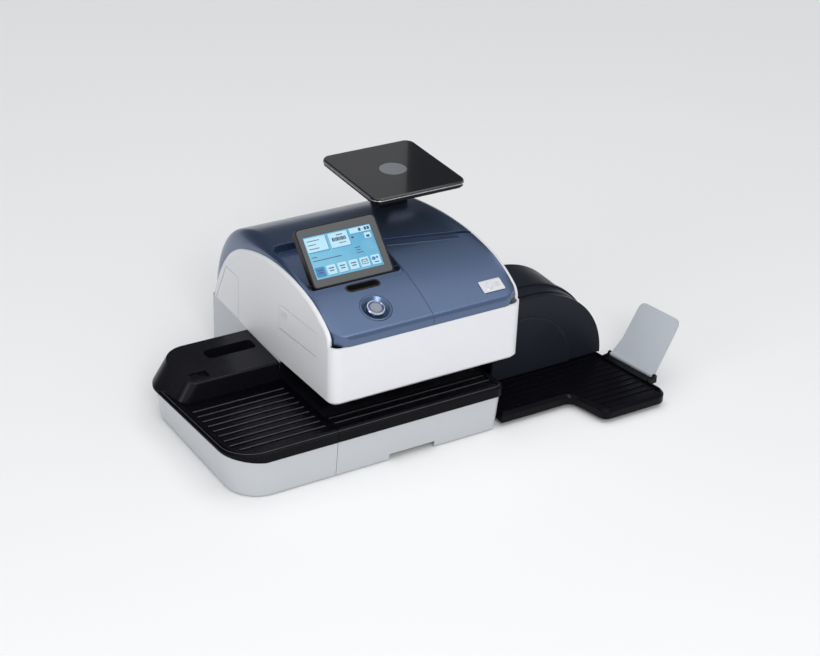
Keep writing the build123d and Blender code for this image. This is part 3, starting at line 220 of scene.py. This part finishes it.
def ribbed(name, color, direction, offset, band, line, rough):
    """Dark moulding whose raised ribs carry a lighter crest, which is painted highlight."""
    s = moulded(name, color, rough, grain=0.0008, depth=0.00002, mottle=0.2, swing=0.05, edge=0.0008,
                shine=0.10)
    height = s.math("SUBTRACT", s.dot(direction), offset)
    low, high = band
    # Painted highlight: the tops of the ribs are coloured lighter, more in some patches than others.
    crest = s.math("MULTIPLY", s.span(height, low, low + 0.00015), s.span(height, high, high - 0.0001))
    highlight_patches = s.span(s.noise(0.01, 3), 0.2, 0.8, 0.55, 1.0)
    base = s.bsdf.inputs["Base Color"].links[0].from_socket
    s.link(s.mix(s.math("MULTIPLY", crest, highlight_patches), base, line), s.bsdf.inputs["Base Color"])
    return s


def dress(surface, *names):
    for name in names:
        mesh = NODE[name].data
        mesh.materials.clear()
        mesh.materials.append(surface.mat)


def middle(node):
    low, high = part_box(node)
    return (Vector(low) + Vector(high)) / 2


deck_low, deck_high = (Vector(v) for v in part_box("base_deck"))
tray_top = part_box("catch_tray")[1][2]
DECK_N = Vector((0, math.sin(DECK_TILT), math.cos(DECK_TILT)))
# The deck's surface lies 3 mm under the rim, whose highest line is the deck's front upper edge.
RIM_HEIGHT, RIM_BEVEL = 0.003, 0.0052
deck_surface = DECK_N.dot(Vector((0, deck_low.y + RIM_BEVEL, deck_high.z))) - RIM_HEIGHT

BLACK = (0.0022, 0.0022, 0.0042)
WHITE = (0.76, 0.765, 0.79)
white = moulded("white_shell", WHITE, 0.42, grain=0.0009, depth=0.00002, mottle=0.02, swing=0.05)
grey = moulded("light_grey_shell", (0.53, 0.555, 0.58), 0.45, grain=0.0009, depth=0.00003, mottle=0.03)
silver = moulded("silver_paint", (0.56, 0.58, 0.60), 0.36, grain=0.0006, depth=0.00001, mottle=0.03,
                 metallic=0.35, coat=0.15)
blue = metallic_paint("blue_metallic_paint", (0.100, 0.150, 0.262), 0.30)
# The lighter rib colours given to the deck and the tray are painted highlight on the rib tops.
deck = ribbed("ribbed_deck", BLACK, tuple(DECK_N), deck_surface, (0.0009, 0.0013), (0.15, 0.15, 0.16), 0.26)
tray = ribbed("ribbed_tray", BLACK, (0, 0, 1), tray_top - RIM_HEIGHT, (0.0010, 0.0014), (0.11, 0.11, 0.12),
              0.28)
black = moulded("black_shell", (0.0058, 0.0058, 0.0082), 0.27, grain=0.0008, depth=0.00002, mottle=0.15,
                shine=0.2)
hood = moulded("hood_shell", (0.0135, 0.0160, 0.023), 0.38, grain=0.0010, depth=0.00003, mottle=0.12,
               shine=0.2)
satin_black = moulded("satin_black", (0.010, 0.010, 0.012), 0.42, mottle=0.15, shine=0.25)
pill = moulded("grip_brown", (0.014, 0.012, 0.012), 0.16, mottle=0.15, shine=0.3, coat=0.3)
dark = moulded("dark_moulding", (0.03, 0.032, 0.036), 0.5, mottle=0.15)
cartridge = moulded("cartridge_shell", (0.02, 0.035, 0.06), 0.4, mottle=0.15)
board = moulded("circuit_board", (0.02, 0.14, 0.06), 0.35, grain=0.003, depth=0.00005, mottle=0.3)
steel = brushed("ground_steel", (0.52, 0.53, 0.54), 0.28)
plated = brushed("zinc_sheet", (0.48, 0.49, 0.50), 0.42, along=(6, 6, 1), size=0.004)
aluminium = brushed("milled_aluminium", (0.72, 0.73, 0.75), 0.34)
tyre = rubber("rubber_tread")
belt = rubber("belt_rubber", (0.025, 0.025, 0.025))
disc = brushed("turned_disc", (0.56, 0.58, 0.61), 0.36, size=0.0007, turned=tuple(middle("platter_disc")))
chrome = brushed("polished_ring", (0.50, 0.54, 0.62), 0.16, size=0.0006,
                 turned=tuple(middle("button_barrel")))
badge = brushed("badge_metal", (0.78, 0.79, 0.81), 0.3, along=(20, 1, 1), size=0.001)

gloss = moulded("polished_black", (0.0048, 0.0050, 0.0056), 0.06, grain=0.02, depth=0.000002, mottle=0.2,
                swing=0.02, edge=0.0008, coat=0.6, scuff=0.04)
glass = moulded("screen_frame", (0.018, 0.022, 0.025), 0.10, grain=0.02, depth=0.000002, mottle=0.06,
                swing=0.03, edge=0.0005, coat=0.4, scuff=0.04)

frosted = moulded("frosted_sheet", (0.66, 0.70, 0.75), 0.5, grain=0.0006, depth=0.00003, mottle=0.03)
frosted.set(Transmission_Weight=0.45, IOR=1.45)

dress(white, "casing", "side_door", "side_panel")
dress(grey, "rear_housing")
dress(silver, "base_skirt", "feeder_skirt")
dress(blue, "control_panel", "cartridge_lid", "rear_cover", "button_dish")
dress(deck, "base_deck", "feeder_deck")
dress(tray, "catch_tray")
dress(black, "feeder_tower", "transport_plate", "tower_switch", "platform_tray")
dress(hood, "exit_housing", "exit_cover")
dress(satin_black, "display_housing", "platform_post", "rear_sockets", "hinge_pins")
dress(pill, "grip_cup")
dress(dark, "bearing_blocks", "button_switch", "in_pulley", "out_pulley", "print_carriage", "waste_ink_tray")
dress(cartridge, "ink_cartridge")
dress(board, "main_board")
dress(steel, "carriage_rails", "in_shaft", "out_shaft", "motor_pulley", "press_pivots", "screws",
      "button_spring", "drive_motor")
dress(plated, "chassis_plate", "cross_frame", "power_supply", "in_press_arm", "out_press_arm")
dress(aluminium, "load_cell")
dress(tyre, "in_tyres", "out_tyres", "in_press_roller", "out_press_roller", "rubber_feet")
dress(belt, "drive_belt")
dress(disc, "platter_disc")
dress(chrome, "button_barrel")
dress(badge, "lid_badge")
dress(gloss, "platter")
dress(glass, "display_bezel")
dress(frosted, "stop_flap")


# ------------------------------------------------------------------ start button cap
def button_material():
    """Grey cap with a coloured ring near its edge, measured from the button's axis."""
    s = moulded("button_cap", (0.25, 0.275, 0.31), 0.34, grain=0.0008, mottle=0.04, edge=0.0003)
    centre = middle("button_barrel")
    lean = math.atan2(0.34, 0.94)
    normal = Vector((0, -math.sin(lean), math.cos(lean)))
    cap_height = 0.0042
    away = s.distance(tuple(centre + normal * cap_height))
    ring = s.math("MULTIPLY", s.span(away, 0.0074, 0.0076), s.span(away, 0.0088, 0.0086))
    base = s.bsdf.inputs["Base Color"].links[0].from_socket
    s.link(s.mix(ring, base, (0.10, 0.10, 0.42)), s.bsdf.inputs["Base Color"])
    return s


dress(button_material(), "start_button")
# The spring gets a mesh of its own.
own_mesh(NODE["button_spring"])


# ------------------------------------------------------------------ screen
SCREEN_TILT = math.radians(44)
UP = Vector((0, math.cos(SCREEN_TILT), math.sin(SCREEN_TILT)))
OUT = Vector((0, -math.sin(SCREEN_TILT), math.cos(SCREEN_TILT)))
RIGHT = Vector((1, 0, 0))
# The bezel is a flat 1.5 mm sheet, so its box's middle lies 0.75 mm under its face. The window is a little
# to the left of the bezel's middle, and a little under it.
SCREEN_AT = middle("display_bezel") + OUT * 0.00075 - RIGHT * 0.0015 - UP * 0.0005
SCREEN_W, SCREEN_H = 0.096, 0.057
# The menu is drawn on a sheet of this size and stretched to the window.
MENU_W, MENU_H = 0.093, 0.054


def screen_material():
    s = Surface("lit_screen")
    across = s.math("DIVIDE", s.math("SUBTRACT", s.dot(tuple(RIGHT)), RIGHT.dot(SCREEN_AT)), SCREEN_W)
    upward = s.math("DIVIDE", s.math("SUBTRACT", s.dot(tuple(UP)), UP.dot(SCREEN_AT)), SCREEN_H)
    sweep = s.span(s.math("ADD", across, s.math("MULTIPLY", upward, 0.5)), -0.5, 0.5)
    colour = s.mix(sweep, (0.15, 0.44, 0.60), (0.07, 0.33, 0.54))
    colour = s.mix(s.span(s.noise(0.02, 2), 0.4, 0.8, 0, 0.3), colour, (0.26, 0.52, 0.66))
    pixels = s.cells(0.00035)
    colour = s.mix(s.span(pixels, 0, 1, 0, 0.08), colour, (0.05, 0.25, 0.4))
    s.link(colour, s.bsdf.inputs["Base Color"])
    s.link(colour, s.bsdf.inputs["Emission Color"])
    s.link(s.span(pixels, 0, 1, 0.2, 0.3), s.bsdf.inputs["Roughness"])
    s.set(Emission_Strength=0.04)
    return s


def lit(name, color, strength=0.05):
    s = Surface(name)
    pixels = s.cells(0.00035)
    colour = s.mix(s.span(pixels, 0, 1, 0, 0.12), color, shade(color, 0.8))
    colour = s.mix(s.span(s.noise(0.006, 2), 0.3, 0.7, 0, 0.2), colour, shade(color, 0.88))
    s.link(colour, s.bsdf.inputs["Base Color"])
    s.link(colour, s.bsdf.inputs["Emission Color"])
    s.link(s.span(pixels, 0, 1, 0.2, 0.32), s.bsdf.inputs["Roughness"])
    s.set(Emission_Strength=strength)
    return s


def tile_outline(w, h, r, steps=3):
    points = []
    x, y = w / 2 - r, h / 2 - r
    for cx, cy, turn in ((x, y, 0), (-x, y, 90), (-x, -y, 180), (x, -y, 270)):
        for i in range(steps + 1):
            a = math.radians(turn + 90 * i / steps)
            points.append((cx + r * math.cos(a), cy + r * math.sin(a)))
    return points


class Sheet:
    """Thin raised shapes on a plane, gathered in one mesh."""

    def __init__(self, name, at, right, up):
        self.name, self.at, self.right, self.up = name, at, right, up
        self.out = right.cross(up).normalized()
        self.bm = bmesh.new()

    def shape(self, points, low, high):
        place = lambda p, z: self.at + self.right * (p[0] * MM) + self.up * (p[1] * MM) + self.out * (z * MM)
        bottom = [self.bm.verts.new(place(p, low)) for p in points]
        top = [self.bm.verts.new(place(p, high)) for p in points]
        self.bm.faces.new(top)
        self.bm.faces.new(bottom[::-1])
        for i in range(len(points)):
            j = (i + 1) % len(points)
            self.bm.faces.new((bottom[i], bottom[j], top[j], top[i]))

    def tile(self, x, y, w, h, r=0.6, low=-0.35, high=-0.22):
        self.shape([(x + px, y + py) for px, py in tile_outline(w, h, r)], low, high)

    def done(self, surface, body):
        mesh = bpy.data.meshes.new(self.name)
        bmesh.ops.recalc_face_normals(self.bm, faces=self.bm.faces)
        self.bm.to_mesh(mesh)
        self.bm.free()
        piece = bpy.data.objects.new(self.name, mesh)
        bpy.context.scene.collection.objects.link(piece)
        mesh.materials.append(surface.mat)
        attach(piece, body)
        return piece


def make_screen():
    """Generic menu: a preview panel, summary boxes and six keys, with bars in place of words."""
    dress(screen_material(), "display_screen")
    right, up = RIGHT * (SCREEN_W / MENU_W), UP * (SCREEN_H / MENU_H)
    pale = Sheet("screen_keys", SCREEN_AT, right, up)
    blue_keys = Sheet("screen_key_pressed", SCREEN_AT, right, up)
    ink = Sheet("screen_marks", SCREEN_AT, right, up)
    shadow = Sheet("screen_shadows", SCREEN_AT, right, up)
    for i in range(6):
        x = -38.5 + 15.3 * i
        shadow.tile(x + 0.6, -18.9, 12.6, 12.2, 1.2, -0.36, -0.30)
        (blue_keys if i == 0 else pale).tile(x, -18.2, 12.4, 12.0, 1.2, -0.34, -0.22)
        if i < 4:
            for k, w in enumerate((7.5, 6.0)):
                ink.tile(x, -16.2 - 3.2 * k, w, 1.3, 0.3, -0.24, -0.16)
    ink.shape([(18.6, -14.9), (26.8, -14.9), (26.8, -15.6), (18.6, -15.6)], -0.24, -0.16)
    ink.shape([(18.6, -20.3), (26.8, -20.3), (26.8, -21.0), (18.6, -21.0)], -0.24, -0.16)
    ink.shape([(18.6, -15.6), (19.3, -15.6), (19.3, -20.3), (18.6, -20.3)], -0.24, -0.16)
    ink.shape([(26.1, -15.6), (26.8, -15.6), (26.8, -20.3), (26.1, -20.3)], -0.24, -0.16)
    envelope = [(19.3, -15.6), (22.7, -18.4), (26.1, -15.6), (26.1, -16.4), (22.7, -19.3), (19.3, -16.4)]
    ink.shape(envelope, -0.24, -0.16)
    blue_keys.tile(35.6, -16.6, 5.2, 4.4, 2.0, -0.24, -0.14)
    blue_keys.tile(40.4, -15.8, 3.2, 3.0, 1.4, -0.24, -0.14)
    ink.tile(38.4, -21.4, 6.4, 1.2, 0.3, -0.24, -0.16)

    shadow.tile(-30.4, 14.9, 29.0, 18.4, 0.8, -0.36, -0.30)
    pale.tile(-31.4, 16.4, 28.2, 18.0, 0.8, -0.34, -0.24)
    for k, w in enumerate((17.0, 11.0, 14.0)):
        ink.tile(-34.5 + (w - 17) / 2, 21.2 - 5.0 * k, w, 0.9, 0.2, -0.26, -0.18)
    shadow.tile(0.8, 14.6, 26.6, 17.6, 0.8, -0.36, -0.30)
    pale.tile(0.0, 16.2, 26.0, 18.4, 0.8, -0.34, -0.24)
    ink.tile(2.0, 22.0, 9.0, 1.1, 0.3, -0.26, -0.18)
    for k in range(9):
        ink.tile(-8.6 + 2.15 * k, 17.0, 1.5 if k % 3 else 1.9, 4.6, 0.2, -0.26, -0.18)
    ink.tile(3.2, 11.6, 10.0, 0.8, 0.2, -0.26, -0.18)
    pale.tile(31.0, 22.6, 29.0, 6.6, 0.6, -0.34, -0.24)
    for k, w in enumerate((3.2, 1.0, 3.2, 3.2)):
        ink.tile(30.5 + 4.0 * k, 22.6, w, 4.0 if k != 1 else 1.0, 0.4, -0.26, -0.18)
    pale.tile(38.8, 13.6, 9.0, 7.0, 1.0, -0.34, -0.24)
    ink.tile(38.8, 12.6, 4.6, 3.0, 0.6, -0.26, -0.18)
    ink.tile(18.0, 14.8, 3.0, 2.6, 0.5, -0.34, -0.24)
    shadow.tile(31.0, 18.4, 29.0, 0.8, 0.2, -0.34, -0.26)
    bars = ((-40.0, 0.6, 7.5), (-24.0, -4.0, 39.0), (20.0, 1.4, 7.5), (20.0, -2.0, 6.0), (21.0, -5.4, 9.5))
    for x, y, w in bars:
        ink.tile(x, y, w, 0.9, 0.2, -0.34, -0.26)
    pale.done(lit("screen_pale", (0.42, 0.66, 0.77)), "display")
    blue_keys.done(lit("screen_blue", (0.03, 0.18, 0.42)), "display")
    ink.done(lit("screen_ink", (0.02, 0.05, 0.10), 0.0), "display")
    shadow.done(lit("screen_shade", (0.05, 0.28, 0.50)), "display")


make_screen()


# ------------------------------------------------------------------ platter trim
def trim_line(low, high, out, radius):
    """Points round the platter's plan, standing out by out."""
    mid = ((low.x + high.x) / 2, (low.y + high.y) / 2)
    w, h = high.x - low.x + 2 * out, high.y - low.y + 2 * out
    return [Vector((mid[0] + x, mid[1] + y, 0)) for x, y in tile_outline(w, h, radius + out, 12)]


def make_trim():
    """Thin rounded metal bead round the joint between the glass platter and its tray."""
    low, high = (Vector(v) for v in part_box("platter"))
    corner, clear, reach = 0.013, 0.00005, 0.0006
    joint_z, half = low.z - 0.0002, 0.0007
    steps = 6
    rings = []
    bm = bmesh.new()
    for i in range(steps + 1):
        a = math.radians(-90 + 180 / steps * i)
        out, z = clear + reach * max(0.0, math.cos(a)), joint_z + half * math.sin(a)
        rings.append([bm.verts.new(p + Vector((0, 0, z))) for p in trim_line(low, high, out, corner)])
    count = len(rings[0])
    for a, b in zip(rings, rings[1:] + rings[:1]):
        for i in range(count):
            j = (i + 1) % count
            bm.faces.new((a[i], a[j], b[j], b[i]))
    bmesh.ops.recalc_face_normals(bm, faces=bm.faces)
    mesh = bpy.data.meshes.new("platter_trim")
    bm.to_mesh(mesh)
    bm.free()
    piece = bpy.data.objects.new("platter_trim", mesh)
    bpy.context.scene.collection.objects.link(piece)
    mesh.materials.append(brushed("trim_metal", (0.62, 0.64, 0.67), 0.25, along=(8, 8, 1), size=0.001).mat)
    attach(piece, "machine")


make_trim()


# ------------------------------------------------------------------ room
def area(name, at, aim, size, power, color=(1, 1, 1)):
    data = bpy.data.lights.new(name, "AREA")
    data.shape = "RECTANGLE"
    data.size, data.size_y = size
    data.energy = power
    data.color = color
    lamp = bpy.data.objects.new(name, data)
    bpy.context.scene.collection.objects.link(lamp)
    lamp.location = at
    lamp.rotation_euler = (Vector(aim) - Vector(at)).to_track_quat("-Z", "Y").to_euler()
    lamp.visible_camera = False
    return lamp


def make_room():
    mesh = bpy.data.meshes.new("floor")
    half = 14.0
    corners = [(-half, -half, 0), (half, -half, 0), (half, half, 0), (-half, half, 0)]
    mesh.from_pydata(corners, [], [(0, 1, 2, 3)])
    floor = bpy.data.objects.new("floor", mesh)
    bpy.context.scene.collection.objects.link(floor)
    s = Surface("pale_floor")
    tone = s.mix(s.noise(0.8, 2), (0.90, 0.90, 0.905), (0.93, 0.93, 0.93))
    s.link(tone, s.bsdf.inputs["Base Color"])
    s.set(Roughness=0.85)
    s.bsdf.inputs["Specular IOR Level"].default_value = 0.1
    mesh.materials.append(s.mat)

    world = bpy.data.worlds.new("studio")
    bpy.context.scene.world = world
    world.use_nodes = True
    nodes, links = world.node_tree.nodes, world.node_tree.links
    coord = nodes.new("ShaderNodeTexCoord")
    split = nodes.new("ShaderNodeSeparateXYZ")
    links.new(coord.outputs["Generated"], split.inputs["Vector"])
    both = nodes.new("ShaderNodeMath")
    both.operation = "MULTIPLY"
    # The sky is dark behind the machine, low down.
    for index, axis, start, end in ((0, "Y", -0.15, 0.5), (1, "Z", 0.95, 0.45)):
        ramp = nodes.new("ShaderNodeMapRange")
        ramp.interpolation_type = "SMOOTHSTEP"
        for socket, number in zip(("From Min", "From Max", "To Min", "To Max"), (start, end, 0.0, 1.0)):
            ramp.inputs[socket].default_value = number
        links.new(split.outputs[axis], ramp.inputs["Value"])
        links.new(ramp.outputs["Result"], both.inputs[index])
    blend = nodes.new("ShaderNodeMix")
    blend.data_type = "RGBA"
    blend.inputs[6].default_value = (0.71, 0.725, 0.745, 1)
    blend.inputs[7].default_value = (0.10, 0.105, 0.12, 1)
    links.new(both.outputs["Value"], blend.inputs["Factor"])
    links.new(blend.outputs[2], nodes["Background"].inputs["Color"])
    nodes["Background"].inputs["Strength"].default_value = 0.75

    area("key", (-0.9, -2.4, 1.8), (0, 0, 0.1), (1.2, 0.9), 30)
    area("left", (-2.6, -0.5, 1.0), (0, 0, 0.1), (1.0, 1.4), 9)
    area("front_card", (0.82, -1.23, 2.5), middle("display_bezel"), (1.0, 0.8), 3.6)
    # A dim card seen only as a soft sheen on the left half of the polished platter, where sight leaves it.
    onward, away, width = Vector((0.454, 0.742, 0.493)), 0.8, 0.2
    aim = middle("platter") - Vector((width / 2, 0, 0))
    area("platter_card", aim + onward * away, aim, (width, 0.4), 0.07)
    sky = bpy.data.lights.new("sky", "SUN")
    sky.energy = 0.80
    sky.angle = math.radians(70)
    lamp = bpy.data.objects.new("sky", sky)
    bpy.context.scene.collection.objects.link(lamp)


def make_camera():
    """Three-quarter view from the front left, about 30 degrees above the table."""
    data = bpy.data.cameras.new("camera")
    data.sensor_width = 36.0
    data.lens = 78.02
    data.clip_end = 60
    camera = bpy.data.objects.new("camera", data)
    bpy.context.scene.collection.objects.link(camera)
    right = Vector((0.86263, -0.50467, 0.03438))
    up = Vector((0.22338, 0.44105, 0.86924))
    back = right.cross(up)
    turn = Matrix((right, up, back)).transposed()
    camera.matrix_world = Matrix.Translation((-1.07923, -1.77669, 1.26543)) @ turn.to_4x4()
    bpy.context.scene.camera = camera


make_room()
make_camera()
bpy.context.scene.view_settings.view_transform = "Standard"
bpy.context.scene.view_settings.look = "None"
